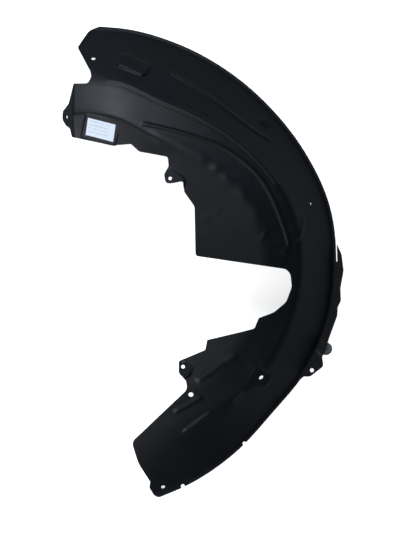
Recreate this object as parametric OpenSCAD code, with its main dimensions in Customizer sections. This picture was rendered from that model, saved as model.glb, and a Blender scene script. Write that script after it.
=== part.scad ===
// Inner wheel arch liner: one thin moulded sheet that stands as a shallow half dome over the wheel.
// It lies on its rim, dome side up. Lengths are millimetres; the wheel's axle line is the plan centre
// that every radius and angle below is measured from, with angle 0 towards the crown of the arch.

/* [Arch] */
// radius of the rim at the crown of the arch
crown_radius = 372; // [350:2:400]
// height of the long ridge above the rim, at the crown
ridge_height = 108; // [90:2:125]
// rise of the inner wall above the long ridge
wall_rise = 18; // [14:1:22]
// width of the shallow band between the long ridge and the inner wall
band_width = 60; // [56:1:64]
// thickness of the moulded sheet
sheet = 2.5; // [2:0.1:3]
// width of the flat lip that runs along the rim
lip_width = 6; // [5:0.5:9]

/* [Beads and pads] */
// height of the stiffening beads
bead_height = 2.4; // [1.5:0.1:3]
// width of the stiffening beads
bead_width = 13; // [11:0.5:16]
// height of the blister near the upper end
blister_height = 6; // [3:0.5:8]

/* [End flange] */
// angle that the end flange is folded down by
fold_angle = 56; // [45:1:60]

/* [Holes] */
// diameter of the fixing holes along the rim
rim_hole = 7; // [6:0.1:8]
// diameter of the two larger holes in the lower leg
leg_hole = 8.5; // [7:0.1:9]
// diameter of the holes in the small ears and in the end flange
ear_hole = 6; // [5:0.1:7]
// width of the slit between the rim and the crown flange
slit_width = 1.8; // [1.2:0.1:3]

/* [Label] */
// width of the paper label
label_width = 49; // [40:1:55]
// height of the paper label
label_height = 30; // [24:1:34]
// thickness of the paper label
label_sheet = 0.3; // [0.2:0.1:0.5]

/* [Edge buffer] */
// diameter of the round buffer under the rim
buffer_diameter = 22; // [18:1:24]
// thickness of the round buffer
buffer_sheet = 3; // [2:0.5:4]

/* [Hidden] */

// the plan is drawn for this crown radius and scaled to the one asked for
drawn_radius = 372;
plan = crown_radius / drawn_radius;

// rim radius and ridge radius by angle, and the share of ridge_height that the ridge keeps
rim_by_angle = [for (p = [[-105, 432], [-90, 419], [-75, 402.5], [-60, 384], [-45, 368.5], [-30, 370.5],
  [-15, 373], [0, 372], [15, 373.5], [30, 370.5], [45, 371], [60, 377.5], [75, 388.5], [90, 401.5],
  [105, 407], [120, 404]]) [p[0], p[1] * plan]];
ridge_by_angle = [for (p = [[-105, 336], [-90, 326], [-75, 312], [-60, 301], [-45, 304], [-30, 304],
  [-15, 304], [0, 305], [15, 303], [30, 293], [45, 282], [60, 275], [75, 278], [90, 298],
  [105, 314], [120, 322]]) [p[0], p[1] * plan]];
ridge_share = [[-105, 0.3], [-90, 0.38], [-75, 0.48], [-60, 0.6], [-45, 0.71], [-30, 0.82], [-15, 0.92],
  [0, 0.97], [15, 1], [30, 1], [45, 1], [60, 1], [75, 0.98], [90, 0.92], [105, 0.78], [120, 0.6]];
// how far the rim lifts off the ground towards the upper end
rim_lift = [[-105, 0], [60, 0], [75, 0], [90, 7], [105, 26], [120, 48]];
// fall of the wall inside its crest, as a slope, by angle
inner_slope = [[-105, 0], [-30, 0], [45, 0], [60, 0.06], [75, 0.3], [90, 0.34], [105, 0.34], [120, 0.3]];

// slope of the shallow band, and how softly the creases and the lip are rounded
band_slope = wall_rise / band_width;
crease_round = 9;
crest_round = 3;
lip_round = 3;

// beads: [from angle, to angle, height, half width, [angle, radius] points]
wide = bead_width / 2;
narrow = bead_width * 0.4;
// the inner beads' line, which a group of rings follows all the way round
low_line = [[-90, 280], [-75, 271], [-60, 266], [-45, 268], [-30, 272], [-15, 280], [0, 288], [15, 280],
  [30, 274], [45, 259], [60, 240], [75, 231], [90, 232]];
beads = [
  [24, 94, bead_height, wide, [[15, 303], [30, 292], [45, 282], [60, 275], [75, 277], [90, 299], [105, 312]]],
  [37, 76, bead_height, narrow, [[30, 345], [45, 317], [60, 316], [75, 331], [90, 350]]],
  [4, 80, bead_height, narrow, low_line],
  [5, 14.5, bead_height, narrow, [[0, 290], [5, 299], [10, 313], [15, 321]]],
  [-51.5, -43.5, bead_height, narrow, [[-60, 309], [-45, 305], [-30, 301]]],
  [-70, -57, bead_height, wide, [[-75, 313], [-67, 305], [-59, 298], [-51, 308]]],
  [-70, -57, bead_height * 0.8, wide, low_line],
  [-57, -37, bead_height * 0.8, wide * 1.5, [[-60, 238], [-45, 242], [-30, 262]]]
];

// pads pressed up or down out of the sheet:
// [x, y, turn, half length, half width, corner, rise, share of slope kept]
pads = [
  [26, 331, -24, 28, 13, 9, blister_height, 0.9],
  [250, 238, -40, 9, 7, 5, 4, 0.75],
  [113, -179, 62, 13, 12, 9, 3, 0],
  [241, -194, -40, 17, 13, 9, -3.5, 0.8]
];
lower_ear_pad = 2;
pocket_pad = 3;

// the label lies on a flat on the fallen inner margin
label_place = [-26, 218] * plan;
label_turn = -15.5;
label_flat_depth = 0.6;

// the end flange folds down past the line x = fold_x
fold_x = -72 * plan;
fold_from = 196 * plan;
fold_to = 304 * plan;
fold_steps = 9;
fold_reach = 26;
fold_slope = tan(fold_angle);

// fixing holes square to the sheet: [x, y, diameter]
sheet_holes = [
  [-41, 342, rim_hole],
  [326, 99, ear_hole],
  [123, -222, leg_hole],
  [74.5, -386, rim_hole],
  [89.5, 136, ear_hole]
];
lower_ear_hole = [110, -174.5] * plan;
tab_hole = [330, -185.5] * plan;
flange_hole = [-84.5, 241] * plan;
bore_depth = 30;

// the round buffer sits in a raised seat under the rim, half of it past the edge
buffer_place = [353.8, -148.5] * plan;
buffer_room = 0.5;

function clamp01(v) = min(max(v, 0), 1);
function ease(v) = let (c = clamp01(v)) c * c * (3 - 2 * c);
function soft_min(a, b, k) = min(a, b) - pow(max(k - abs(a - b), 0), 2) / (4 * k);
function soft_max(a, b, k) = -soft_min(-a, -b, k);

// value at an angle on the smooth curve through [angle, value] points
function span_of(list, a, i = 0) = (i >= len(list) - 2 || a < list[i + 1][0]) ? i : span_of(list, a, i + 1);
function value_at(list, a) =
  let (i = span_of(list, a))
  let (last = len(list) - 1)
  let (p0 = list[max(i - 1, 0)][1], p1 = list[i][1], p2 = list[i + 1][1], p3 = list[min(i + 2, last)][1])
  let (u = clamp01((a - list[i][0]) / (list[i + 1][0] - list[i][0])))
  p1 + 0.5 * u * ((p2 - p0) + u * ((2 * p0 - 5 * p1 + 4 * p2 - p3) + u * (3 * p1 - p0 - 3 * p2 + p3)));

// height of the top face of the bare dome, before beads and pads
function dome(x, y) =
  let (a = atan2(y, x), r = norm([x, y]))
  let (ridge_r = value_at(ridge_by_angle, a), ridge_z = ridge_height * value_at(ridge_share, a))
  let (low = sheet + max(value_at(rim_lift, a), 0), run = value_at(rim_by_angle, a) - lip_width - ridge_r)
  let (outer = ridge_z - (r - ridge_r) * (ridge_z - low) / run)
  let (band = ridge_z + (ridge_r - r) * band_slope)
  let (wall = ridge_z + wall_rise + min(r - ridge_r + band_width, 0) * max(value_at(inner_slope, a), 0))
  soft_max(soft_min(soft_min(band, wall, crest_round), outer, crease_round), low, lip_round);

// one bead's rise at a place
function bead_rise(b, a, r) =
  let (d = (r - value_at(b[4], a) * plan) / b[3])
  (abs(d) >= 1 || a <= b[0] || a >= b[1]) ? 0
    : b[2] * (0.5 + 0.5 * cos(180 * d)) * ease((a - b[0]) / 2.5) * ease((b[1] - a) / 2.5);
function sum(list, i = 0) = i >= len(list) ? 0 : list[i] + sum(list, i + 1);

// height of the top face with its beads, and the direction square to the face without them
function face(x, y) =
  let (a = atan2(y, x), r = norm([x, y]))
  dome(x, y) + sum([for (b = beads) bead_rise(b, a, r)]);
probe = 1;
function slope_at(x, y) =
  [dome(x + probe, y) - dome(x - probe, y), dome(x, y + probe) - dome(x, y - probe)] / (2 * probe);
function square_to(slope) = [-slope[0], -slope[1], 1] / norm([-slope[0], -slope[1], 1]);
function up(x, y) = square_to(slope_at(x, y));

// the sheet is worked out on spokes and rings, and the rings follow the beads
spoke_step = 3;
spokes = [for (a = [-94:spoke_step:116]) a];
spoke_count = len(spokes);
inner_by_angle = [[-94, 270], [-84, 255], [-70, 220], [-62, 190], [-58, 175], [-50, 180], [-40, 180],
  [-34, 200], [-24, 230], [-16, 255], [-8, 270], [-4, 255], [-1, 150], [2, 115], [20, 112], [45, 135],
  [60, 138], [64, 165], [80, 165], [95, 175], [116, 195]];
function rings(a) =
  let (rim = value_at(rim_by_angle, a), ridge = value_at(ridge_by_angle, a), edge = rim - lip_width)
  let (inner = lookup(a, inner_by_angle) * plan, crest = ridge - band_width)
  let (low = max(value_at(low_line, a) * plan, crest + 8))
  let (high = min(value_at(beads[1][4], a) * plan, edge - 16))
  rising(concat(
    [for (i = [0:2]) inner + (crest - 4 - inner) * i / 2],
    [crest + 1],
    [for (d = [-5, 0, 5]) low + d],
    [for (d = [-6.5, -3, 0, 3, 7]) ridge + d],
    [for (i = [1:2]) ridge + 7 + (high - ridge - 12) * i / 2],
    [for (d = [0, 5]) high + d],
    [for (i = [1:3]) high + 5 + (edge - high - 6) * i / 3],
    [edge + 0.8, edge + 5.2, rim + 30]), inner);
// keeps each ring a little outside the one before
ring_step = 0.8;
function rising(list, from, i = 0) =
  i >= len(list) ? []
    : let (r = max(list[i], from + (i > 0 ? ring_step : 0)))
      concat([r], rising(list, r, i + 1));

grid = [for (a = spokes) for (r = rings(a)) [r * cos(a), r * sin(a)]];
top_points = [for (p = grid) [p[0], p[1], face(p[0], p[1])]];
squares = [for (p = grid) up(p[0], p[1])];
function sunk(depth) = [for (i = [0:len(grid) - 1]) top_points[i] - depth * squares[i]];

// a closed skin between two layers of points, each layer being rows of n points
function quad(a, b, c, d) = [[a, b, c], [a, c, d]];
function skin_faces(rows, n) =
  let (all = rows * n, end = (rows - 1) * n)
  concat(
    [for (i = [0:rows - 2], j = [0:n - 2]) let (k = i * n + j) each quad(k, k + n, k + n + 1, k + 1)],
    [for (i = [0:rows - 2], j = [0:n - 2]) let (k = all + i * n + j) each quad(k, k + 1, k + n + 1, k + n)],
    [for (i = [0:rows - 2]) let (k = i * n) each quad(k, k + all, k + all + n, k + n)],
    [for (i = [0:rows - 2]) let (k = i * n + n - 1) each quad(k, k + n, k + all + n, k + all)],
    [for (j = [0:n - 2]) each quad(j, j + 1, j + all + 1, j + all)],
    [for (j = [0:n - 2]) let (k = end + j) each quad(k, k + all, k + all + 1, k + 1)]);

module skin(over, under, rows) {
  polyhedron(points = concat(over, under), faces = skin_faces(rows, len(over) / rows), convexity = 8);
}

// outline corners in plan: [x, y, corner radius]; the rim between them follows rim_by_angle
upper_end = [[-76, 207.5, 3], [-79.5, 222, 4], [-87, 228, 4], [-93, 238, 5], [-92.5, 252, 6],
  [-81, 264, 10], [-72.5, 297, 2], [-48, 296.3, 7], [-42.5, 309, 8], [-45.5, 320, 6], [-69, 363.5, 5],
  [-52, 396, 16], [-34, 403.5, 10]];
crown_flange = [[381, 14, 16], [384.5, -14, 12], [379, -44, 14], [379.8, -66, 6], [374.3, -77, 3],
  [373.5, -92, 10], [347.5, -163, 3], [350, -178.5, 8], [327, -196.5, 10], [316, -196.3, 3]];
lower_end = [[62, -406.5, 11], [51, -387, 5], [52.8, -376, 4], [33, -342, 60], [22.5, -304.5, 13],
  [117, -213, 14], [114.6, -198.5, 5], [102.8, -186, 12], [102.3, -165.5, 5], [146.8, -146.5, 4],
  [150, -129.8, 2], [228.5, -111, 6], [235.5, -93.5, 4], [261, -84, 25], [281, -67, 16],
  [290.5, -42, 18], [287, -13.5, 15]];
inner_wall = [[131, 9, 5], [129.5, 90, 12], [112.5, 114, 8], [111, 131.5, 4], [95, 128.5, 20], [82, 127, 8],
  [79.5, 143, 8], [87, 156, 8], [85.5, 171.5, 5], [38, 181, 8], [24.5, 193.5, 5], [-6, 192, 12]];
rim_step = 3;
slit_from = 5.3;
slit_to = 0.2;
function on_rim(a, out = 0) = let (r = value_at(rim_by_angle, a) + out) [r * cos(a), r * sin(a)];
function scaled(corners) = [for (c = corners) [c[0] * plan, c[1] * plan, c[2]]];
function plain(points) = [for (p = points) [p[0], p[1], 0]];
corners = concat(
  scaled(upper_end),
  plain([for (a = [92:-rim_step:8]) on_rim(a)]),
  plain([on_rim(slit_from), on_rim(slit_to), on_rim(slit_to, slit_width)]),
  plain([on_rim(slit_from - 0.4, slit_width)]),
  scaled(crown_flange),
  plain([for (a = [-33:-rim_step:-78]) on_rim(a)]),
  scaled(lower_end),
  scaled(inner_wall));

// turns each corner into an arc
arc_step = 20;
function corner_arc(before, here, after) =
  let (p = [here[0], here[1]], u = [before[0], before[1]] - p, v = [after[0], after[1]] - p)
  let (nu = u / norm(u), nv = v / norm(v), half = acos(max(min(nu * nv, 1), -1)) / 2)
  let (reach = min(here[2] / tan(half), norm(u) * 0.48, norm(v) * 0.48), radius = reach * tan(half))
  let (middle = p + (nu + nv) / norm(nu + nv) * radius / sin(half))
  let (from = p + nu * reach - middle, turn = 180 - 2 * half, way = -sign(u[0] * v[1] - u[1] * v[0]))
  let (steps = max(ceil(turn / arc_step), 1))
  [for (i = [0:steps]) middle + turned(from, way * turn * i / steps)];
function turned(v, t) = [v[0] * cos(t) - v[1] * sin(t), v[0] * sin(t) + v[1] * cos(t)];
outline = [for (i = [0:len(corners) - 1])
  let (n = len(corners), c = corners[i])
  each (c[2] > 0 ? corner_arc(corners[(i + n - 1) % n], c, corners[(i + 1) % n]) : [[c[0], c[1]]])];

// the plan's middle goes to the origin
left_x = min([for (p = outline) p[0]]);
right_x = max([for (p = outline) p[0]]);
front_y = min([for (p = outline) p[1]]);
back_y = max([for (p = outline) p[1]]);
to_origin = [-(left_x + right_x) / 2, -(front_y + back_y) / 2, 0];

// small open notches on the lower rim: [angle, in from the rim, diameter]
rim_notches = [[-55.5, 0.5, 7], [-74.3, 2, 7]];

// stands at a place with its own z square to a face of the given slope
module on_face(place, height, slope) {
  translate([place[0], place[1], height]) rotate([0, 0, atan2(slope[1], slope[0])])
    rotate([0, -atan(norm(slope)), 0]) children();
}

module bore(diameter) {
  translate([0, 0, -bore_depth / 2]) cylinder(h = bore_depth, d = diameter, $fn = 48);
}

// all that lies above, or below, a tilted face
module above(place, height, slope) {
  on_face(place, height, slope) translate([-drawn_radius, -drawn_radius, 0]) cube(2 * drawn_radius);
}

module below(place, height, slope) {
  on_face(place, height, slope) translate([-drawn_radius, -drawn_radius, -2 * drawn_radius])
    cube(2 * drawn_radius);
}

// upright column over a pad's footprint, grown or shrunk by some millimetres
module column(pad, grow) {
  corner = pad[5] + grow;
  translate([pad[0] * plan, pad[1] * plan, -ridge_height]) rotate([0, 0, pad[2]])
    linear_extrude(4 * ridge_height) offset(r = corner, $fn = 32)
      square([2 * (pad[3] - pad[5]), 2 * (pad[4] - pad[5])], center = true);
}

// a pad's face: its middle, height and slope
function pad_middle(pad) = [pad[0], pad[1]] * plan;
function pad_height(pad) = let (m = pad_middle(pad)) dome(m[0], m[1]) + pad[6];
function pad_slope(pad) = let (m = pad_middle(pad)) slope_at(m[0], m[1]) * pad[7];
// upright thickness of a pad, so that it is one sheet thick square to its face
function pad_sheet(pad) = sheet * norm([pad_slope(pad)[0], pad_slope(pad)[1], 1]);

// walls that join a pad to the sheet, up from the sheet's middle or down to the pad
module pad_walls(pad) {
  difference() {
    intersection() {
      column(pad, 0);
      below(pad_middle(pad), pad_height(pad), pad_slope(pad));
    }
    skin(sunk(sheet / 2), ground_points, spoke_count);
  }
  intersection() {
    column(pad, sheet);
    above(pad_middle(pad), pad_height(pad) - pad_sheet(pad), pad_slope(pad));
    skin(sunk(sheet / 2), ground_points, spoke_count);
  }
}

// what a pad leaves empty over its face and under it
module pad_hollows(pad) {
  intersection() {
    column(pad, 0);
    above(pad_middle(pad), pad_height(pad), pad_slope(pad));
  }
  intersection() {
    column(pad, -sheet);
    below(pad_middle(pad), pad_height(pad) - pad_sheet(pad), pad_slope(pad));
  }
}

// raised seat over the round buffer
seat_radius = buffer_diameter / 2 + buffer_room + sheet;
seat = [buffer_place[0] / plan, buffer_place[1] / plan, 0, seat_radius, seat_radius, seat_radius - 0.1,
  buffer_sheet, 0];
all_pads = concat(pads, [seat]);
ground_points = [for (p = grid) [p[0], p[1], -2 * ridge_height]];

// the end flange: a narrow strip that falls from the sheet's edge at the fold, set a little into the sheet
fold_inset = 0.2;
function fold_row(x, y, drop) = [x, y, face(max(x, fold_x), y) - fold_inset - drop];
flange_top = [for (i = [0:fold_steps])
  let (y = fold_from + (fold_to - fold_from) * i / fold_steps)
  each [fold_row(fold_x - fold_reach, y, fold_reach * fold_slope), fold_row(fold_x, y, 0),
    fold_row(fold_x + sheet, y, 0)]];
function flange_slope(y) = [fold_slope, slope_at(fold_x, y)[1]];
function flange_square(p) =
  let (fallen = square_to(flange_slope(p[1])), sheet_up = up(max(p[0], fold_x), p[1]))
  p[0] < fold_x - 1 ? fallen : p[0] < fold_x + 1 ? (fallen + sheet_up) / 2 : sheet_up;
flange_under = [for (p = flange_top) p - (sheet - 2 * fold_inset) * flange_square(p)];

module end_flange() {
  skin(flange_top, flange_under, fold_steps + 1);
}

label_z = dome(label_place[0], label_place[1]) - label_flat_depth;
label_slope = slope_at(label_place[0], label_place[1]);
label_spin = label_turn - atan2(label_slope[1], label_slope[0]);
label_margin = 4;

// a block that stands on the label's flat, as large as the label and a margin round it
module on_label_flat(margin, height) {
  on_face(label_place, label_z, label_slope) rotate([0, 0, label_spin])
    translate([-label_width / 2 - margin, -label_height / 2 - margin, 0])
      cube([label_width + 2 * margin, label_height + 2 * margin, height]);
}

// the whole moulding, trimmed to its outline and held to its plan size
module moulding() {
  resize([right_x - left_x, back_y - front_y, 0])
    intersection() {
      union() {
        difference() {
          union() {
            skin(top_points, sunk(sheet), spoke_count);
            for (pad = all_pads) pad_walls(pad);
          }
          for (pad = all_pads) pad_hollows(pad);
          on_label_flat(label_margin, ridge_height);
          translate([fold_x - 2 * drawn_radius, 0, -ridge_height])
            cube([2 * drawn_radius, 2 * drawn_radius, 4 * ridge_height]);
        }
        end_flange();
      }
      translate([0, 0, -ridge_height]) linear_extrude(4 * ridge_height) difference() {
        polygon(outline);
        for (n = rim_notches) translate(on_rim(n[0], -n[1])) circle(d = n[2], $fn = 16);
      }
    }
}

// a hole square to the sheet at a place
module sheet_bore(place, diameter) {
  on_face(place, dome(place[0], place[1]), slope_at(place[0], place[1])) bore(diameter);
}

// a hole square to a pad's face, at the pad's middle or at a place on a level pad
module pad_bore(pad, place, diameter) {
  on_face(place, pad_height(pad), pad_slope(pad)) bore(diameter);
}

module flange_bore(place, diameter) {
  height = face(fold_x, place[1]) - (fold_x - place[0]) * fold_slope;
  on_face(place, height, flange_slope(place[1])) bore(diameter);
}

module liner() {
  color([0.10, 0.11, 0.13]) translate(to_origin) difference() {
    moulding();
    for (h = sheet_holes) sheet_bore([h[0], h[1]] * plan, h[2]);
    pad_bore(pads[pocket_pad], pad_middle(pads[pocket_pad]), leg_hole);
    pad_bore(pads[lower_ear_pad], lower_ear_hole, ear_hole);
    translate([tab_hole[0], tab_hole[1], 0]) bore(rim_hole);
    flange_bore(flange_hole, ear_hole);
  }
}

module label() {
  color([0.85, 0.88, 0.93]) translate(to_origin) on_label_flat(0, label_sheet);
}

module edge_buffer() {
  color([0.25, 0.25, 0.26]) translate(to_origin) translate(buffer_place)
    cylinder(h = buffer_sheet, d = buffer_diameter, $fn = 48);
}

liner();
label();
edge_buffer();
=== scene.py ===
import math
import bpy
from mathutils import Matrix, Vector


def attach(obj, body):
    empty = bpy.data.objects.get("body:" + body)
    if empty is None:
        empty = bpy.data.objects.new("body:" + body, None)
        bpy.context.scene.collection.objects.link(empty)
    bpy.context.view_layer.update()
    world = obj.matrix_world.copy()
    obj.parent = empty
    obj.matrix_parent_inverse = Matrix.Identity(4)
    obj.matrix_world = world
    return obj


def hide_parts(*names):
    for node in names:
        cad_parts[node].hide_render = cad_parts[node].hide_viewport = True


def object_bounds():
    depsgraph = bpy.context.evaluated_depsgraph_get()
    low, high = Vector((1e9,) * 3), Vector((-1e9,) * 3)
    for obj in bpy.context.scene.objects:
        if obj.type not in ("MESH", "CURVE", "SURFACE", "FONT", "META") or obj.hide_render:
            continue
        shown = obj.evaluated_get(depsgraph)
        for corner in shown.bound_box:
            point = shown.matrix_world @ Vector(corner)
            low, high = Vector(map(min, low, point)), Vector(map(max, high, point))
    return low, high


bl_info = {
    "name": "Wheel Arch Liner",
    "version": (1, 0, 0),
    "blender": (4, 5, 0),
    "location": "View3D > Sidebar > Arch Liner",
    "description": "Builds a moulded wheel arch liner with its label and edge buffer",
    "category": "Add Mesh",
}

import bpy
import numpy as np
from bpy.props import FloatProperty, FloatVectorProperty, PointerProperty
from mathutils import Vector
from mathutils.geometry import delaunay_2d_cdt

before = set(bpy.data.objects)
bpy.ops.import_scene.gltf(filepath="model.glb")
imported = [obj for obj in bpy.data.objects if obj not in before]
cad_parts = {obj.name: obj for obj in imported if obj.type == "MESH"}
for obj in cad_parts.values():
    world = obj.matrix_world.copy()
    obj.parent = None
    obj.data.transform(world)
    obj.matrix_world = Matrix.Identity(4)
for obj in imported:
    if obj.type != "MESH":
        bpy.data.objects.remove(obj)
CAD_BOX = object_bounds()
MM = 0.001

# The plan is drawn in millimetres about the wheel's axle, with angle 0 towards the crown of the arch,
# for this crown radius, and is scaled to the one asked for.
DRAWN_RADIUS = 372
RIM = [(-105, 432), (-90, 419), (-75, 402.5), (-60, 384), (-45, 368.5), (-30, 370.5), (-15, 373), (0, 372),
       (15, 373.5), (30, 370.5), (45, 371), (60, 377.5), (75, 388.5), (90, 401.5), (105, 407), (120, 404)]
RIDGE = [(-105, 336), (-90, 326), (-75, 312), (-60, 301), (-45, 304), (-30, 304), (-15, 304), (0, 305),
         (15, 303), (30, 293), (45, 282), (60, 275), (75, 278), (90, 298), (105, 314), (120, 322)]
RIDGE_SHARE = [(-105, 0.3), (-90, 0.38), (-75, 0.48), (-60, 0.6), (-45, 0.71), (-30, 0.82), (-15, 0.92),
               (0, 0.97), (15, 1), (30, 1), (45, 1), (60, 1), (75, 0.98), (90, 0.92), (105, 0.78), (120, 0.6)]
RIM_LIFT = [(-105, 0), (60, 0), (75, 0), (90, 7), (105, 26), (120, 48)]
INNER_SLOPE = [(-105, 0), (-30, 0), (45, 0), (60, 0.06), (75, 0.3), (90, 0.34), (105, 0.34), (120, 0.3)]
LOW_LINE = [(-90, 280), (-75, 271), (-60, 266), (-45, 268), (-30, 272), (-15, 280), (0, 288), (15, 280),
            (30, 274), (45, 259), (60, 240), (75, 231), (90, 232)]

# Outline corners: x, y and corner radius. The rim between them follows RIM.
UPPER_END = [(-76, 207.5, 3), (-79.5, 222, 4), (-87, 228, 4), (-93, 238, 5), (-92.5, 252, 6), (-81, 264, 10),
             (-72.5, 297, 2), (-48, 296.3, 7), (-42.5, 309, 8), (-45.5, 320, 6), (-69, 363.5, 5),
             (-52, 396, 16), (-34, 403.5, 10)]
CROWN_FLANGE = [(381, 14, 16), (384.5, -14, 12), (379, -44, 14), (379.8, -66, 6), (374.3, -77, 3),
                (373.5, -92, 10), (347.5, -163, 3), (350, -178.5, 8), (327, -196.5, 10), (316, -196.3, 3)]
LOWER_END = [(62, -406.5, 11), (51, -387, 5), (52.8, -376, 4), (33, -342, 60), (22.5, -304.5, 13),
             (117, -213, 14), (114.6, -198.5, 5), (102.8, -186, 12), (102.3, -165.5, 5), (146.8, -146.5, 4),
             (150, -129.8, 2), (228.5, -111, 6), (235.5, -93.5, 4), (261, -84, 25), (281, -67, 16),
             (290.5, -42, 18), (287, -13.5, 15)]
INNER_WALL = [(131, 9, 5), (129.5, 90, 12), (112.5, 114, 8), (111, 131.5, 4), (95, 128.5, 20), (82, 127, 8),
              (79.5, 143, 8), (87, 156, 8), (85.5, 171.5, 5), (38, 181, 8), (24.5, 193.5, 5), (-6, 192, 12)]
SLIT = (5.3, 0.2)
RIM_NOTCHES = [(-55.5, 0.5, 7), (-74.3, 2, 7)]
SHEET_HOLES = [(-41, 342, "rim_hole"), (326, 99, "ear_hole"), (123, -222, "leg_hole"), (74.5, -386, "rim_hole"),
               (89.5, 136, "ear_hole"), (110, -174.5, "ear_hole"), (330, -185.5, "rim_hole"),
               (241, -194, "leg_hole"), (-84.5, 241, "ear_hole")]
BUFFER_PLACE = (353.8, -148.5)
LABEL_PLACE = (-26, 218)


class ArchSizes(bpy.types.PropertyGroup):
    """Sizes of the moulding"""

    crown_radius: FloatProperty(
        name="Crown Radius", description="Radius of the rim at the crown", default=0.372, unit="LENGTH")
    ridge_height: FloatProperty(
        name="Ridge Height", description="Height of the long ridge over the rim", default=0.108, unit="LENGTH")
    wall_rise: FloatProperty(
        name="Wall Rise", description="Rise of the inner wall over the ridge", default=0.018, unit="LENGTH")
    band_width: FloatProperty(
        name="Band Width", description="Width of the band inside the ridge", default=0.06, unit="LENGTH")
    sheet: FloatProperty(
        name="Sheet", description="Thickness of the moulded sheet", default=0.0025, unit="LENGTH")
    lip_width: FloatProperty(
        name="Lip Width", description="Width of the flat lip at the rim", default=0.006, unit="LENGTH")
    bead_height: FloatProperty(
        name="Bead Height", description="Height of the stiffening beads", default=0.0024, unit="LENGTH")
    bead_width: FloatProperty(
        name="Bead Width", description="Width of the stiffening beads", default=0.013, unit="LENGTH")
    blister_height: FloatProperty(
        name="Blister Height", description="Height of the upper blister", default=0.006, unit="LENGTH")
    fold_angle: FloatProperty(
        name="Fold Angle", description="Angle of the end flange", default=math.radians(56), subtype="ANGLE")
    slit_width: FloatProperty(
        name="Slit Width", description="Width of the slit beside the rim", default=0.0018, unit="LENGTH")
    rim_hole: FloatProperty(
        name="Rim Hole", description="Diameter of the holes near the rim", default=0.007, unit="LENGTH")
    leg_hole: FloatProperty(
        name="Leg Hole", description="Diameter of the two larger holes", default=0.0085, unit="LENGTH")
    ear_hole: FloatProperty(
        name="Ear Hole", description="Diameter of the holes in the ears", default=0.006, unit="LENGTH")
    mesh_step: FloatProperty(
        name="Mesh Step", description="Spacing of the moulding's mesh", default=0.0022, unit="LENGTH")


class PlasticFinish(bpy.types.PropertyGroup):
    """Colours and gloss of the moulding and its buffer"""

    deep: FloatVectorProperty(
        name="Deep", description="Darker tone of the black plastic", subtype="COLOR", size=3,
        default=(0.0019, 0.0028, 0.0042))
    pale: FloatVectorProperty(
        name="Pale", description="Lighter tone of the black plastic", subtype="COLOR", size=3,
        default=(0.0034, 0.0050, 0.0074))
    dust: FloatVectorProperty(
        name="Dust", description="Colour of the thin dust film", subtype="COLOR", size=3,
        default=(0.019, 0.026, 0.036))
    roughness: FloatProperty(
        name="Roughness", description="Middle roughness of the grained face", default=0.44, min=0.05, max=1)
    buffer: FloatVectorProperty(
        name="Buffer", description="Colour of the edge buffer", subtype="COLOR", size=3,
        default=(0.040, 0.040, 0.043))


class LabelLook(bpy.types.PropertyGroup):
    """Sizes and colours of the label"""

    width: FloatProperty(name="Width", description="Width of the label", default=0.049, unit="LENGTH")
    height: FloatProperty(name="Height", description="Height of the label", default=0.03, unit="LENGTH")
    sheet: FloatProperty(name="Sheet", description="Thickness of the label", default=0.0003, unit="LENGTH")
    paper: FloatVectorProperty(
        name="Paper", description="Colour of the paper", subtype="COLOR", size=3, default=(0.62, 0.68, 0.78))
    rule: FloatVectorProperty(
        name="Rule", description="Colour of the plain rows", subtype="COLOR", size=3, default=(0.30, 0.34, 0.42))


class StageLook(bpy.types.PropertyGroup):
    """Camera height and the colours of the stage"""

    camera_height: FloatProperty(
        name="Camera Height", description="Height of the camera over the floor", default=2.6, unit="LENGTH")
    floor: FloatVectorProperty(
        name="Floor", description="Colour of the floor", subtype="COLOR", size=3, default=(0.3, 0.3, 0.3))
    floor_glow: FloatProperty(name="Floor Glow", description="Own light of the floor in the picture", default=0.68)
    key: FloatProperty(name="Key", description="Power of the key lamp", default=36, unit="POWER")
    fill: FloatProperty(name="Fill", description="Power of the fill lamp", default=33, unit="POWER")
    top: FloatProperty(name="Top", description="Power of the overhead lamp", default=5, unit="POWER")
    room: FloatProperty(name="Room", description="Strength of the room's light", default=0.08)


def arch_mm(name):
    """One of the moulding's sizes in millimetres."""
    return getattr(bpy.context.scene.arch_sizes, name) / MM


def plan_scale():
    return arch_mm("crown_radius") / DRAWN_RADIUS


def ease(v):
    c = np.clip(v, 0, 1)
    return c * c * (3 - 2 * c)


def soft_min(a, b, k):
    return np.minimum(a, b) - np.maximum(k - np.abs(a - b), 0) ** 2 / (4 * k)


def soft_max(a, b, k):
    return -soft_min(-a, -b, k)


def value_at(points, angle, scale=1.0):
    """Values at the angles, on the smooth curve through the points."""
    at = np.array([p[0] for p in points], float)
    value = np.array([p[1] for p in points], float) * scale
    last = len(points) - 1
    i = np.clip(np.searchsorted(at, angle, side="right") - 1, 0, last - 1)
    p0, p1, p2, p3 = (value[np.clip(i + k, 0, last)] for k in (-1, 0, 1, 2))
    u = np.clip((angle - at[i]) / (at[i + 1] - at[i]), 0, 1)
    return p1 + 0.5 * u * (p2 - p0 + u * (2 * p0 - 5 * p1 + 4 * p2 - p3 + u * (3 * p1 - p0 - 3 * p2 + p3)))


def polar(x, y):
    return np.degrees(np.arctan2(y, x)), np.hypot(x, y)


CREASE_ROUND = 9
CREST_ROUND = 3
LIP_ROUND = 3


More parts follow.
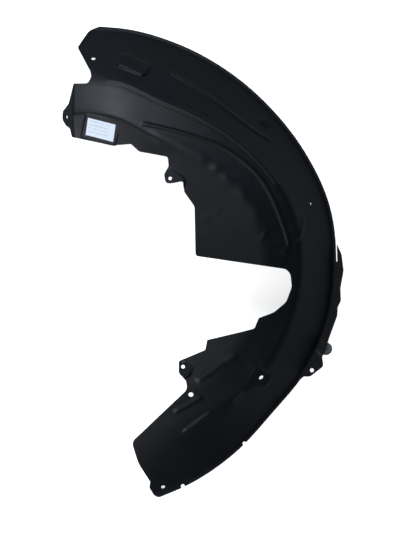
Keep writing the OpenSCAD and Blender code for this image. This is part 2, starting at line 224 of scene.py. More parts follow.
def dome(x, y):
    """Height of the top face of the bare dome."""
    a, r = polar(x, y)
    scale = plan_scale()
    ridge_r = value_at(RIDGE, a, scale)
    ridge_z = arch_mm("ridge_height") * value_at(RIDGE_SHARE, a)
    low = arch_mm("sheet") + np.maximum(value_at(RIM_LIFT, a), 0)
    run = value_at(RIM, a, scale) - arch_mm("lip_width") - ridge_r
    rise, width = arch_mm("wall_rise"), arch_mm("band_width")
    outer = ridge_z - (r - ridge_r) * (ridge_z - low) / run
    band = ridge_z + (ridge_r - r) * rise / width
    fallen = np.minimum(r - ridge_r + width, 0) * np.maximum(value_at(INNER_SLOPE, a), 0)
    wall = ridge_z + rise + fallen
    return soft_max(soft_min(soft_min(band, wall, CREST_ROUND), outer, CREASE_ROUND), low, LIP_ROUND)


def slope_at(height, x, y, probe=0.5):
    """Slopes along x and y of a height function."""
    along_x = (height(x + probe, y) - height(x - probe, y)) / (2 * probe)
    along_y = (height(x, y + probe) - height(x, y - probe)) / (2 * probe)
    return along_x, along_y


def square_to(slope):
    """Unit vectors square to faces of these slopes."""
    n = np.stack([-slope[0], -slope[1], np.ones_like(slope[0])], axis=-1)
    return n / np.linalg.norm(n, axis=-1, keepdims=True)


# Beads: from angle, to angle, share of the bead height, share of the bead width, line.
BEADS = [
    (24, 94, 1.0, 0.5, [(15, 303), (30, 292), (45, 282), (60, 275), (75, 277), (90, 299), (105, 312)]),
    (37, 76, 1.0, 0.4, [(30, 345), (45, 317), (60, 316), (75, 331), (90, 350)]),
    (4, 80, 1.0, 0.4, LOW_LINE),
    (5, 14.5, 1.0, 0.4, [(0, 290), (5, 299), (10, 313), (15, 321)]),
    (-51.5, -43.5, 1.0, 0.4, [(-60, 309), (-45, 305), (-30, 301)]),
    (-70, -57, 1.0, 0.5, [(-75, 313), (-67, 305), (-59, 298), (-51, 308)]),
    (-70, -57, 0.8, 0.5, LOW_LINE),
    (-57, -37, 0.8, 0.75, [(-60, 238), (-45, 242), (-30, 262)]),
]
BEAD_END = 2.5


def beads(a, r):
    """Rise of all the beads at these angles and radii."""
    total = np.zeros_like(r)
    for start, end, height, width, line in BEADS:
        d = np.abs(r - value_at(line, a, plan_scale())) / (width * arch_mm("bead_width"))
        section = np.where(d < 1, 0.5 + 0.5 * np.cos(np.pi * d), 0)
        ends = ease((a - start) / BEAD_END) * ease((end - a) / BEAD_END)
        total += height * arch_mm("bead_height") * section * ends
    return total


# Pads: x, y, turn, half length, half width, corner, rise, share of the sheet's slope kept, soft edge.
PADS = [
    (26, 331, -24, 28, 13, 9, "blister_height", 0.9, 6),
    (250, 238, -40, 9, 7, 5, 4, 0.75, 5),
    (113, -179, 62, 13, 12, 9, 3, 0, 5),
    (241, -194, -40, 17, 13, 9, -3.5, 0.8, 6),
]


def turned_about(x, y, x0, y0, turn):
    """Places measured from a centre along axes that are turned by some degrees."""
    c, s = math.cos(math.radians(turn)), math.sin(math.radians(turn))
    return (x - x0) * c + (y - y0) * s, (y - y0) * c - (x - x0) * s


def outside_box(u, v, half_u, half_v, corner):
    """Distance outside a round-cornered rectangle, negative inside."""
    du, dv = np.abs(u) - half_u + corner, np.abs(v) - half_v + corner
    return np.hypot(np.maximum(du, 0), np.maximum(dv, 0)) + np.minimum(np.maximum(du, dv), 0) - corner


def pressed(z, x, y):
    """The height with the pads pressed out of the sheet."""
    scale = plan_scale()
    for px, py, turn, half_u, half_v, corner, rise, kept, soft in PADS:
        px, py = px * scale, py * scale
        rise = arch_mm(rise) if isinstance(rise, str) else rise
        slope = slope_at(dome, np.array(px), np.array(py))
        pad = dome(np.array(px), np.array(py)) + rise + kept * ((x - px) * slope[0] + (y - py) * slope[1])
        u, v = turned_about(x, y, px, py, turn)
        share = 1 - ease(outside_box(u, v, half_u, half_v, corner) / soft + 0.5)
        z = z + share * (pad - z)
    return z


# Small soft bumps and dents: x, y, turn, half length, half width, rise.
MARKS = [
    (164, 151, 10, 9, 7, 1.3), (182, 135, -45, 13, 8, 1.5), (208, 110, -55, 17, 9, 1.5),
    (231, 79, -65, 14, 10, 0.8), (277.8, 14, 60, 9, 6, 1.4), (243.5, 43.5, 60, 10, 4, 0.9),
    (146.6, 69.7, 20, 8, 6, 0.5), (168, 84.5, 20, 7, 5, 0.4),
]
CREST_BEAD = (46, 78, 1.2, 9)
EAR_STEP = [(89.5, 138, -35, 26, 12, 10, 2.2, 6), ]
WAVES = [(0.031, 0.012, 0.4), (-0.013, 0.027, 1.9), (0.021, -0.034, 3.1)]
WAVE_HEIGHT = 0.14


def marked(z, x, y):
    """The height with the crest's roll, the raised ear, the small marks and the moulding's slight waves."""
    a, r = polar(x, y)
    start, end, rise, half = CREST_BEAD
    crest = value_at(RIDGE, a, plan_scale()) - arch_mm("band_width")
    roll = np.exp(-((r - crest) / half) ** 2) * ease((a - start) / 4) * ease((end - a) / 8)
    z = z + rise * roll
    for mx, my, turn, half_u, half_v, height in MARKS:
        u, v = turned_about(x, y, mx, my, turn)
        z = z + height * np.exp(-((u / half_u) ** 2) - (v / half_v) ** 2)
    for mx, my, turn, half_u, half_v, corner, height, soft in EAR_STEP:
        u, v = turned_about(x, y, mx, my, turn)
        z = z + height * (1 - ease(outside_box(u, v, half_u, half_v, corner) / soft + 0.5))
    for wx, wy, start in WAVES:
        z = z + WAVE_HEIGHT / len(WAVES) * (np.sin(wx * x + wy * y + start) - 1)
    return z


LABEL_TURN = -15.5
LABEL_DEPTH = 0.6
LABEL_MARGIN = 4
FOLD_X = -72
FOLD_ROUND = 2.5


def label_plane(x, y):
    """Height of the flat that carries the label."""
    x0, y0 = (np.array(c * plan_scale()) for c in LABEL_PLACE)
    slope = slope_at(dome, x0, y0)
    return dome(x0, y0) - LABEL_DEPTH + (x - x0) * slope[0] + (y - y0) * slope[1]


def on_label(x, y):
    """Places measured along the label's own sides, on its plane."""
    x0, y0 = (c * plan_scale() for c in LABEL_PLACE)
    return turned_about(x, y, x0, y0, LABEL_TURN)


def face(x, y):
    """Height of the moulding's top face with all its forms."""
    a, r = polar(x, y)
    z = marked(pressed(dome(x, y) + beads(a, r), x, y), x, y)
    look = bpy.context.scene.label_look
    u, v = on_label(x, y)
    d = outside_box(u, v, look.width / MM / 2 + LABEL_MARGIN, look.height / MM / 2 + LABEL_MARGIN, 3)
    flat = 1 - ease(d / 3)
    z = z + flat * (np.minimum(z, label_plane(x, y)) - z)
    seat_r = bpy.context.scene.buffer_sizes.diameter / MM / 2 + 3
    bx, by = (c * plan_scale() for c in BUFFER_PLACE)
    seat = arch_mm("sheet") + bpy.context.scene.buffer_sizes.sheet / MM
    share = 1 - ease((np.hypot(x - bx, y - by) - seat_r) / 2 + 0.5)
    z = z + share * (np.maximum(z, seat) - z)
    return z


def folded(x, y):
    """Height of the whole top face, with the end flange folded down past the fold."""
    fold_x = FOLD_X * plan_scale()
    edge = face(np.maximum(x, fold_x - FOLD_ROUND), y)
    fall = face(np.full_like(x, fold_x), y) + (x - fold_x) * math.tan(arch_mm("fold_angle") * MM)
    return np.where(x < fold_x + 4 * FOLD_ROUND, soft_min(edge, fall, FOLD_ROUND), edge)


def on_rim(a, out=0.0):
    r = float(value_at(RIM, np.array(a, float), plan_scale())) + out
    return r * math.cos(math.radians(a)), r * math.sin(math.radians(a)), 0


def rim_run(start, end, step):
    """Points along the rim from one angle down to another."""
    count = max(round((start - end) / step), 1)
    return [on_rim(start + (end - start) * i / count) for i in range(count + 1)]


def notched_run(start, end, step):
    """The rim from one angle down to another, with its open notches."""
    points = []
    for angle, inset, diameter in RIM_NOTCHES:
        radius = diameter / 2
        rim_x, rim_y, _ = on_rim(angle)
        half = math.sqrt(radius ** 2 - inset ** 2)
        gap = math.degrees(half / math.hypot(rim_x, rim_y))
        points += rim_run(start, angle + gap, step)
        out = Vector((rim_x, rim_y)).normalized()
        along = Vector((out.y, -out.x))
        middle = Vector(on_rim(angle, -inset)[:2])
        lead = math.asin(inset / radius)
        steps = 12
        for i in range(1, steps):
            t = math.pi - lead + (math.pi + 2 * lead) * i / steps
            p = middle + radius * (math.cos(t) * along + math.sin(t) * out)
            points.append((p.x, p.y, 0))
        start = angle - gap
    return points + rim_run(start, end, step)


def corner_arc(before, here, after, arc_step):
    """A corner's points, turned into an arc of its radius."""
    p = Vector(here[:2])
    u, v = Vector(before[:2]) - p, Vector(after[:2]) - p
    nu, nv = u.normalized(), v.normalized()
    half = math.acos(max(min(nu.dot(nv), 1), -1)) / 2
    reach = min(here[2] / math.tan(half), u.length * 0.48, v.length * 0.48)
    radius = reach * math.tan(half)
    middle = p + (nu + nv).normalized() * (radius / math.sin(half))
    arm = p + nu * reach - middle
    turn = math.pi - 2 * half
    way = -math.copysign(1, u.x * v.y - u.y * v.x)
    steps = max(math.ceil(turn / math.radians(arc_step)), 1)
    points = []
    for i in range(steps + 1):
        c, s = math.cos(way * turn * i / steps), math.sin(way * turn * i / steps)
        points.append(middle + Vector((arm.x * c - arm.y * s, arm.x * s + arm.y * c)))
    return points


def outline(rim_step, arc_step, notches=True):
    """The moulding's outline in plan, clockwise seen from above."""
    scale, slit = plan_scale(), arch_mm("slit_width")

    def scaled(corners):
        return [(x * scale, y * scale, r) for x, y, r in corners]

    run = notched_run if notches else rim_run
    corners = [
        *scaled(UPPER_END), *rim_run(92, 8, rim_step), on_rim(SLIT[0]), on_rim(SLIT[1]), on_rim(SLIT[1], slit),
        on_rim(SLIT[0] - 0.4, slit), *scaled(CROWN_FLANGE), *run(-33, -78, rim_step), *scaled(LOWER_END),
        *scaled(INNER_WALL)]
    points = []
    for i, here in enumerate(corners):
        if here[2]:
            points += corner_arc(corners[i - 1], here, corners[(i + 1) % len(corners)], arc_step)
        else:
            points.append(Vector(here[:2]))
    return points


def to_origin():
    """The shift that takes the plan's middle to the origin."""
    drawn = outline(3, 20, notches=False)
    x, y = [p.x for p in drawn], [p.y for p in drawn]
    return Vector((-(min(x) + max(x)) / 2, -(min(y) + max(y)) / 2, 0))


def resampled(points, step):
    """A closed outline with no stretch longer than a step."""
    full = []
    for i, p in enumerate(points):
        after = points[(i + 1) % len(points)]
        count = max(round((after - p).length / step), 1)
        full += [p.lerp(after, k / count) for k in range(count)]
    return np.array([(p.x, p.y) for p in full])


def without_twins(points, gap=0.15):
    """The outline without points that lie on their neighbour."""
    kept = []
    for p in points:
        if not kept or (p - kept[-1]).length > gap:
            kept.append(p)
    if (kept[0] - kept[-1]).length <= gap:
        kept.pop()
    return kept


def inset(loop, by):
    """A closed loop moved towards its left by a distance."""
    before, after = np.roll(loop, 1, axis=0), np.roll(loop, -1, axis=0)
    along = after - before
    along /= np.linalg.norm(along, axis=1, keepdims=True)
    return loop + by * np.stack([-along[:, 1], along[:, 0]], axis=1)


def inside(x, y, loop):
    """Which places lie inside a closed loop."""
    hit = np.zeros(x.shape, bool)
    for (ax, ay), (bx, by) in zip(loop, np.roll(loop, -1, axis=0)):
        if ay == by:
            continue
        crosses = (ay > y) != (by > y)
        hit ^= crosses & (x < (bx - ax) * (y - ay) / (by - ay) + ax)
    return hit


def near_loop(x, y, loop, reach):
    """Which places lie within reach of a closed loop."""
    close = np.zeros(x.shape, bool)
    for a, b in zip(loop, np.roll(loop, -1, axis=0)):
        low, high = np.minimum(a, b) - reach, np.maximum(a, b) + reach
        at = np.flatnonzero((x > low[0]) & (x < high[0]) & (y > low[1]) & (y < high[1]))
        if not len(at):
            continue
        along = b - a
        t = np.clip(((x[at] - a[0]) * along[0] + (y[at] - a[1]) * along[1]) / along.dot(along), 0, 1)
        close[at] |= np.hypot(x[at] - a[0] - t * along[0], y[at] - a[1] - t * along[1]) < reach
    return close


EDGE_ROUND = 0.5


class Boundary:
    """One closed edge of the sheet: its loop in plan, and the line of its wall with the wall's directions."""

    def __init__(self, plan, wall, squares):
        self.plan = plan
        self.wall = wall
        self.squares = squares


def outline_boundary(step):
    points = without_twins(outline(1, 8))
    loop = resampled(points[::-1], step)
    z = folded(loop[:, 0], loop[:, 1])
    squares = square_to(slope_at(folded, loop[:, 0], loop[:, 1]))
    return Boundary(inset(loop, EDGE_ROUND), np.column_stack([loop, z]), squares)


def hole_boundary(x, y, diameter):
    """A round hole square to the sheet, clockwise seen from above."""
    here = np.array(x, float), np.array(y, float)
    n = square_to(slope_at(folded, *here, probe=diameter / 2))
    side = np.cross(n, (0, 1, 0))
    side /= np.linalg.norm(side)
    other = np.cross(n, side)
    t = -np.linspace(0, 2 * np.pi, 28, endpoint=False)[:, None]
    arms = np.cos(t) * side + np.sin(t) * other
    middle = np.array([x, y, float(folded(*here))])
    plan = middle + (diameter / 2 + EDGE_ROUND) * arms
    return Boundary(plan[:, :2], middle + diameter / 2 * arms, np.tile(n, (len(arms), 1)))


def hex_points(loop, step):
    """A honeycomb of points over a loop's box."""
    low, high = loop.min(axis=0), loop.max(axis=0)
    rows = np.arange(low[1], high[1], step * math.sqrt(0.75))
    points = [np.column_stack([np.arange(low[0] + step / 2 * (i % 2), high[0], step),
                               np.full(len(np.arange(low[0] + step / 2 * (i % 2), high[0], step)), y)])
              for i, y in enumerate(rows)]
    return np.concatenate(points)


def filled(boundaries, step):
    """Triangles over the plan inside the first boundary and outside the others, with each boundary's vertices."""
    outer = boundaries[0].plan
    grid = hex_points(outer, step)
    keep = inside(grid[:, 0], grid[:, 1], outer)
    for b in boundaries:
        keep &= ~near_loop(grid[:, 0], grid[:, 1], b.plan, step * 0.6)
    for b in boundaries[1:]:
        keep &= ~inside(grid[:, 0], grid[:, 1], b.plan)
    grid = grid[keep]
    points, edges = [Vector(p) for p in grid], []
    ranges = []
    for b in boundaries:
        first, count = len(points), len(b.plan)
        points += [Vector(p) for p in b.plan]
        edges += [(first + i, first + (i + 1) % count) for i in range(count)]
        ranges.append((first, count))
    verts, _, faces, origins, _, _ = delaunay_2d_cdt(points, edges, [], 1, 1e-6)
    place = {}
    for new, olds in enumerate(origins):
        for old in olds:
            place[old] = new
    plan = np.array([(v.x, v.y) for v in verts])
    tris = np.array([f for f in faces if len(f) == 3])
    middles = plan[tris].mean(axis=1)
    for b in boundaries[1:]:
        hole = inside(middles[:, 0], middles[:, 1], b.plan)
        tris, middles = tris[~hole], middles[~hole]
    loops = [[place[first + i] for i in range(count)] for first, count in ranges]
    return plan, tris, loops


def band_quads(a, b):
    """Quads between two closed rows of vertices."""
    count = len(a)
    return [(a[i], b[i], b[(i + 1) % count], a[(i + 1) % count]) for i in range(count)]


def sheet_piece(name, boundaries, height, thickness, step):
    """A thin shell of even thickness over a plan, with rounded edges and true normals."""
    plan, tris, loops = filled(boundaries, step)
    x, y = plan[:, 0], plan[:, 1]
    n = square_to(slope_at(height, x, y))
    top = np.column_stack([x, y, height(x, y)])
    layers = [top, top - thickness * n]
    normals = [n, -n]
    count = len(top)
    quads = []
    total = 2 * count
    for b, loop in zip(boundaries, loops):
        along = np.roll(b.wall, -1, axis=0) - np.roll(b.wall, 1, axis=0)
        out = np.cross(along, b.squares)
        out /= np.linalg.norm(out, axis=1, keepdims=True)
        layers += [b.wall - EDGE_ROUND * b.squares, b.wall - (thickness - EDGE_ROUND) * b.squares]
        normals += [out, out]
        upper = list(range(total, total + len(loop)))
        lower = list(range(total + len(loop), total + 2 * len(loop)))
        total += 2 * len(loop)
        quads += band_quads(loop, upper) + band_quads(upper, lower)
        quads += band_quads(lower, [count + i for i in loop])
    verts = (np.concatenate(layers) + np.array(to_origin())) * MM
    verts = np.clip(verts, *CAD_BOX)
    under = tris[:, ::-1] + count
    mesh = bpy.data.meshes.new(name)
    mesh.from_pydata(verts.tolist(), [], tris.tolist() + under.tolist() + quads)
    mesh.validate()
    mesh.shade_smooth()
    mesh.normals_split_custom_set_from_vertices(np.concatenate(normals).tolist())
    return add_piece(name, mesh)


def add_piece(name, mesh):
    piece = bpy.data.objects.new(name, mesh)
    bpy.context.scene.collection.objects.link(piece)
    return piece


class Value:
    """A shader socket that can be written in sums and products."""

    def __init__(self, tree, socket):
        self.tree = tree
        self.socket = socket

    def math(self, operation, *others):
        return self.tree.node("ShaderNodeMath", {"operation": operation}, dict(enumerate((self, *others))))

    def __add__(self, other):
        return self.math("ADD", other)

    def __sub__(self, other):
        return self.math("SUBTRACT", other)

    def __rsub__(self, other):
        return self.tree.node("ShaderNodeMath", {"operation": "SUBTRACT"}, {0: other, 1: self})

    def __mul__(self, other):
        return self.math("MULTIPLY", other)

    __radd__ = __add__
    __rmul__ = __mul__

    def ramp(self, low, high):
        """0 below low, 1 above high and smooth between."""
        settings = {"interpolation_type": "SMOOTHSTEP"}
        return self.tree.node("ShaderNodeMapRange", settings, {"Value": self, "From Min": low, "From Max": high})


class Tree:
    """The nodes of one material or of the world."""

    def __init__(self, owner):
        owner.use_nodes = True
        self.tree = owner.node_tree
        self.tree.nodes.clear()

    def node(self, kind, settings=None, sockets=None, output=0):
        """Adds a node, sets it up, joins its sockets and gives one of its outputs."""
        made = self.tree.nodes.new(kind)
        for name, value in (settings or {}).items():
            setattr(made, name, value)
        for name, value in (sockets or {}).items():
            if isinstance(value, Value):
                self.tree.links.new(value.socket, made.inputs[name])
            else:
                made.inputs[name].default_value = value
        return made if output is None else Value(self, made.outputs[output])

    def mix(self, factor, a, b):
        """One colour over another by a factor."""
        made = self.tree.nodes.new("ShaderNodeMix")
        made.data_type = "RGBA"
        for socket, value in ((made.inputs[0], factor), (made.inputs[6], a), (made.inputs[7], b)):
            if isinstance(value, Value):
                self.tree.links.new(value.socket, socket)
            else:
                socket.default_value = (*value, 1) if hasattr(value, "__len__") else value
        return Value(self, made.outputs[2])

    def coordinates(self, kind="Object", scale=1.0):
        """Object or UV coordinates, stretched by one scale or by three."""
        place = self.node("ShaderNodeTexCoord", output=kind)
        scale = scale if hasattr(scale, "__len__") else (scale,) * 3
        return self.node("ShaderNodeMapping", None, {"Vector": place, "Scale": scale})

    def noise(self, place, scale, detail=3.0, roughness=0.55, distortion=0.0):
        sockets = {"Vector": place, "Scale": scale, "Detail": detail, "Roughness": roughness}
        return self.node("ShaderNodeTexNoise", None, {**sockets, "Distortion": distortion}, "Fac")

    def bump(self, height, distance, strength=1.0, before=None):
        sockets = {"Height": height, "Distance": distance, "Strength": strength}
        if before:
            sockets["Normal"] = before
        return self.node("ShaderNodeBump", None, sockets)

    def surface(self, **sockets):
        """Ends the material with a Principled shader."""
        named = {k.replace("_", " "): v for k, v in sockets.items()}
        shader = self.node("ShaderNodeBsdfPrincipled", None, named)
        self.node("ShaderNodeOutputMaterial", None, {"Surface": shader}, None)


def new_material(name, piece):
    material = bpy.data.materials.new(name)
    piece.data.materials.clear()
    piece.data.materials.append(material)
    return Tree(material)


def black_plastic(piece):
    """Blue-black moulded plastic: fine grain, slight flow tones, scuffs and a thin film of dust."""
    look = bpy.context.scene.plastic_finish
    tree = new_material("liner_plastic", piece)
    place = tree.coordinates()
    tone = tree.noise(place, 9, 4)
    flow = tree.noise(tree.coordinates(scale=(1, 3.5, 2)), 26, 3, distortion=0.4)
    grain = tree.noise(place, 1500, 2, 0.6)
    speckle = tree.noise(place, 420, 2, 0.5)
    scuff = tree.noise(tree.coordinates(scale=(9, 1.4, 3)), 60, 5, 0.7).ramp(0.62, 0.74)
    dust = tree.noise(place, 38, 5, 0.65).ramp(0.52, 0.78) * 0.10 + speckle.ramp(0.70, 0.80) * 0.16
    colour = tree.mix(tone * 0.7 + flow * 0.3, tuple(look.deep), tuple(look.pale))
    colour = tree.mix(dust, colour, tuple(look.dust))
    rough = look.roughness + (tone - 0.5) * 0.10 + (flow - 0.5) * 0.08 + dust * 0.7 - scuff * 0.05
    fine = tree.bump(grain, 0.00006, 0.45)
    normal = tree.bump(flow + scuff * 0.2, 0.0004, 0.25, fine)
    tree.surface(Base_Color=colour, Roughness=rough, Normal=normal, Specular_IOR_Level=0.2)


class ARCH_OT_moulding(bpy.types.Operator):
    """Builds the moulded sheet from its plan, forms and holes"""

    bl_idname = "arch.moulding"
    bl_label = "Moulding"

    def execute(self, context):
        step = arch_mm("mesh_step")
        scale = plan_scale()
        boundaries = [outline_boundary(step)]
        for x, y, size in SHEET_HOLES:
            boundaries.append(hole_boundary(x * scale, y * scale, arch_mm(size)))
        piece = sheet_piece("moulded_liner", boundaries, folded, arch_mm("sheet"), step)
        black_plastic(piece)
        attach(piece, "root")
        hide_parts("liner")
        return {"FINISHED"}


def label_paper(piece):
    """Bluish white label paper with faint plain rows and fibres."""
    look = bpy.context.scene.label_look
    tree = new_material("label_paper", piece)
    uv = tree.node("ShaderNodeTexCoord", output="UV")
    across = tree.node("ShaderNodeSeparateXYZ", None, {"Vector": uv}, "X")
    up = tree.node("ShaderNodeSeparateXYZ", None, {"Vector": uv}, "Y")
    wave = (up * (2 * math.pi * 5)).math("SINE")
    ends = across.ramp(0.07, 0.075) * (1 - across.ramp(0.78, 0.785))
    band = up.ramp(0.10, 0.11) * (1 - up.ramp(0.90, 0.91))
    broken = tree.noise(tree.coordinates("UV", (60, 5, 1)), 1, 0).ramp(0.44, 0.50)
    rows = wave.ramp(0.55, 0.75) * ends * band * broken
    fibre = tree.noise(tree.coordinates(), 900, 3, 0.6)
    mottle = tree.noise(tree.coordinates(), 120, 3)
    paper = tree.mix(mottle * 0.12, tuple(look.paper), (0.45, 0.50, 0.58))
    colour = tree.mix(rows * 0.75, paper, tuple(look.rule))
    normal = tree.bump(fibre, 0.00004, 0.5)
    tree.surface(Base_Color=colour, Roughness=0.5 + fibre * 0.15, Normal=normal, IOR=1.45)


class ARCH_OT_label(bpy.types.Operator):
    """Lays the paper label on its flat"""

    bl_idname = "arch.label"
    bl_label = "Label"

    def execute(self, context):
        look = context.scene.label_look
        shift = to_origin()
        place = np.array([c * plan_scale() for c in LABEL_PLACE])
        slope = slope_at(dome, place[0], place[1])
        n = square_to(slope)
        middle = np.array([*place, float(label_plane(*place))])
        turn = math.radians(LABEL_TURN)
        side = np.array([math.cos(turn), math.sin(turn), 0.0])
        side[2] = side[0] * slope[0] + side[1] * slope[1]
        side /= np.linalg.norm(side)
        other = np.cross(n, side)
        width, height, sheet = (v / MM for v in (look.width, look.height, look.sheet))
        columns, rows = 36, 22
        verts, uvs, faces = [], [], []
        for layer in (1, 0):
            for j in range(rows + 1):
                for i in range(columns + 1):
                    u, v = i / columns - 0.5, j / rows - 0.5
                    curl = max(-u - v - 0.8, 0) ** 2 * 14
                    lift = layer * sheet * 0.5 + sheet * 0.5 * (1 if layer else 0) + curl
                    p = middle + side * u * width + other * v * height + n * lift
                    verts.append((Vector(p) + shift) * MM)
                    uvs.append((u + 0.5, v + 0.5))
        wide = columns + 1
        under = wide * (rows + 1)
        for j in range(rows):
            for i in range(columns):
                k = j * wide + i
                faces.append((k, k + 1, k + wide + 1, k + wide))
                faces.append((under + k, under + k + wide, under + k + wide + 1, under + k + 1))
        for i in range(columns):
            top = rows * wide
            faces.append((i, under + i, under + i + 1, i + 1))
            faces.append((top + i, top + i + 1, under + top + i + 1, under + top + i))
        for j in range(rows):
            a, b = j * wide, j * wide + columns
            faces.append((a, a + wide, under + a + wide, under + a))
            faces.append((b, under + b, under + b + wide, b + wide))
        mesh = bpy.data.meshes.new("paper_label")
        mesh.from_pydata(verts, [], faces)
        layer = mesh.uv_layers.new(name="UVMap")
        for loop in mesh.loops:
            layer.data[loop.index].uv = uvs[loop.vertex_index]
        piece = add_piece("paper_label", mesh)
        label_paper(piece)
        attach(piece, "root")
        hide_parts("label")
        return {"FINISHED"}


class BufferSizes(bpy.types.PropertyGroup):
    """Sizes of the edge buffer"""

    diameter: FloatProperty(name="Diameter", description="Diameter of the buffer", default=0.022, unit="LENGTH")
    sheet: FloatProperty(name="Sheet", description="Thickness of the buffer", default=0.003, unit="LENGTH")


def grey_buffer(piece):
    """Matt dark grey plastic with a fine grain and rubbed high spots."""
    look = bpy.context.scene.plastic_finish
    tree = new_material("buffer_plastic", piece)
    place = tree.coordinates()
    tone = tree.noise(place, 160, 4)
    grain = tree.noise(place, 1800, 2, 0.6)
    colour = tree.mix(tone.ramp(0.35, 0.7), tuple(look.buffer), tuple(1.35 * c for c in look.buffer))
    normal = tree.bump(grain, 0.00005, 0.5)
    tree.surface(Base_Color=colour, Roughness=0.55 + tone * 0.15, Normal=normal, IOR=1.5)


class ARCH_OT_buffer(bpy.types.Operator):
    """Turns the round edge buffer under the rim"""

    bl_idname = "arch.buffer"
    bl_label = "Edge Buffer"

    def execute(self, context):
        sizes = context.scene.buffer_sizes
        radius, height = sizes.diameter / MM / 2, sizes.sheet / MM
        profile = [(0, 0), (radius - 1.0, 0), (radius - 0.3, 0.25), (radius, 0.9), (radius, height - 0.9),
                   (radius - 0.3, height - 0.25), (radius - 1.0, height), (radius * 0.62, height),
                   (radius * 0.56, height - 0.5), (radius * 0.3, height - 0.5), (radius * 0.24, height), (0, height)]
        around = 64
        middle = Vector([c * plan_scale() for c in BUFFER_PLACE] + [0]) + to_origin()
        verts, faces = [], []
        for r, z in profile[1:-1]:
            for k in range(around):
                t = 2 * math.pi * k / around
                verts.append((middle + Vector((r * math.cos(t), r * math.sin(t), z))) * MM)
        rings = len(profile) - 2
        for j in range(rings - 1):
            for k in range(around):
                a, b = j * around + k, j * around + (k + 1) % around
                faces.append((a, b, b + around, a + around))
        faces.append(tuple(range(around))[::-1])
        faces.append(tuple(range((rings - 1) * around, rings * around)))
        mesh = bpy.data.meshes.new("round_buffer")
        mesh.from_pydata(verts, [], faces)
        mesh.shade_smooth()
        piece = add_piece("round_buffer", mesh)
        piece.modifiers.new("edges", "EDGE_SPLIT").split_angle = math.radians(50)
        grey_buffer(piece)
        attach(piece, "root")
        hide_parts("edge_buffer")
        return {"FINISHED"}


# The camera stands straight over this place in the plan, and sees this length of floor on its long side.
CAMERA_PLACE = (154, -29.5)
VIEW_LENGTH = 961.5
SENSOR = 36.0


def aimed(obj, place, target):
    obj.location = Vector(place)
    obj.rotation_mode = "QUATERNION"
    obj.rotation_quaternion = (Vector(target) - Vector(place)).to_track_quat("-Z", "Y")


def soft_lamp(name, place, size, power, colour=(1, 1, 1)):
    lamp = bpy.data.lights.new(name, "AREA")
    lamp.shape = "DISK"
    lamp.size = size
    lamp.energy = power
    lamp.color = colour
    obj = bpy.data.objects.new(name, lamp)
    bpy.context.scene.collection.objects.link(obj)
    aimed(obj, place, (0, 0, 0))


def pale_floor(floor):
    """White to the camera outside the object's shadow, and dull grey to the object."""
    look = bpy.context.scene.stage_look
    tree = new_material("floor", floor)
    seen = tree.node("ShaderNodeLightPath", output="Is Camera Ray")
    glow = tree.node("ShaderNodeEmission", None, {"Color": (1, 1, 1, 1), "Strength": look.floor_glow})
    pale = tree.node("ShaderNodeBsdfDiffuse", None, {"Color": (0.9, 0.9, 0.9, 1)})
    white = tree.node("ShaderNodeAddShader", None, {0: glow, 1: pale})
    matt = tree.node("ShaderNodeBsdfDiffuse", None, {"Color": (*tuple(look.floor), 1)})
    shader = tree.node("ShaderNodeMixShader", None, {0: seen, 1: matt, 2: white})
    tree.node("ShaderNodeOutputMaterial", None, {"Surface": shader}, None)


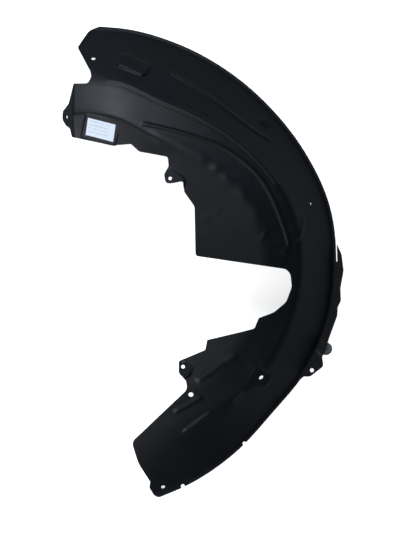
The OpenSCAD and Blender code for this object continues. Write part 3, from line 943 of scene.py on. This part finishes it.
class ARCH_OT_stage(bpy.types.Operator):
    """Sets the floor, the lamps, the room's light and the camera"""

    bl_idname = "arch.stage"
    bl_label = "Stage"

    def execute(self, context):
        look = context.scene.stage_look
        mesh = bpy.data.meshes.new("floor")
        half = 6.0
        mesh.from_pydata([(-half, -half, 0), (half, -half, 0), (half, half, 0), (-half, half, 0)], [], [(0, 1, 2, 3)])
        floor = add_piece("floor", mesh)
        pale_floor(floor)
        soft_lamp("key", (-0.55, 1.35, 1.55), 1.1, look.key, (0.86, 0.93, 1.0))
        soft_lamp("fill", (-1.2, -1.3, 1.1), 1.3, look.fill, (0.95, 0.97, 1.0))
        soft_lamp("top", (-0.3, 0.1, 2.4), 1.2, look.top)
        world = bpy.data.worlds.new("room")
        context.scene.world = world
        tree = Tree(world)
        seen = tree.node("ShaderNodeLightPath", output="Is Camera Ray")
        strength = seen * (1 - look.room) + look.room
        back = tree.node("ShaderNodeBackground", None, {"Color": (1, 1, 1, 1), "Strength": strength})
        tree.node("ShaderNodeOutputWorld", None, {"Surface": back}, None)
        data = bpy.data.cameras.new("camera")
        data.sensor_width = SENSOR
        data.lens = SENSOR * look.camera_height / (VIEW_LENGTH * MM)
        data.clip_end = 50
        camera = bpy.data.objects.new("camera", data)
        context.scene.collection.objects.link(camera)
        shift = to_origin()
        camera.location = ((CAMERA_PLACE[0] + shift.x) * MM, (CAMERA_PLACE[1] + shift.y) * MM, look.camera_height)
        context.scene.camera = camera
        context.scene.view_settings.view_transform = "Standard"
        return {"FINISHED"}


class ARCH_PT_panel(bpy.types.Panel):
    """Lists the liner's pieces and sizes"""

    bl_idname = "ARCH_PT_panel"
    bl_label = "Wheel Arch Liner"
    bl_space_type = "VIEW_3D"
    bl_region_type = "UI"
    bl_category = "Arch Liner"

    def draw(self, context):
        for name, group in GROUPS.items():
            box = self.layout.box()
            for prop in group.__annotations__:
                box.prop(getattr(context.scene, name), prop)
        for operator in OPERATORS:
            self.layout.operator(operator.bl_idname)


GROUPS = {
    "arch_sizes": ArchSizes,
    "plastic_finish": PlasticFinish,
    "label_look": LabelLook,
    "buffer_sizes": BufferSizes,
    "stage_look": StageLook,
}
OPERATORS = (ARCH_OT_moulding, ARCH_OT_label, ARCH_OT_buffer, ARCH_OT_stage)


def register():
    for item in (*GROUPS.values(), *OPERATORS, ARCH_PT_panel):
        bpy.utils.register_class(item)
    for name, group in GROUPS.items():
        setattr(bpy.types.Scene, name, PointerProperty(type=group))


def unregister():
    for name in GROUPS:
        delattr(bpy.types.Scene, name)
    for item in (ARCH_PT_panel, *OPERATORS, *GROUPS.values()):
        bpy.utils.unregister_class(item)


def main():
    register()
    bpy.ops.arch.moulding()
    bpy.ops.arch.label()
    bpy.ops.arch.buffer()
    bpy.ops.arch.stage()


if __name__ == "__main__":
    main()
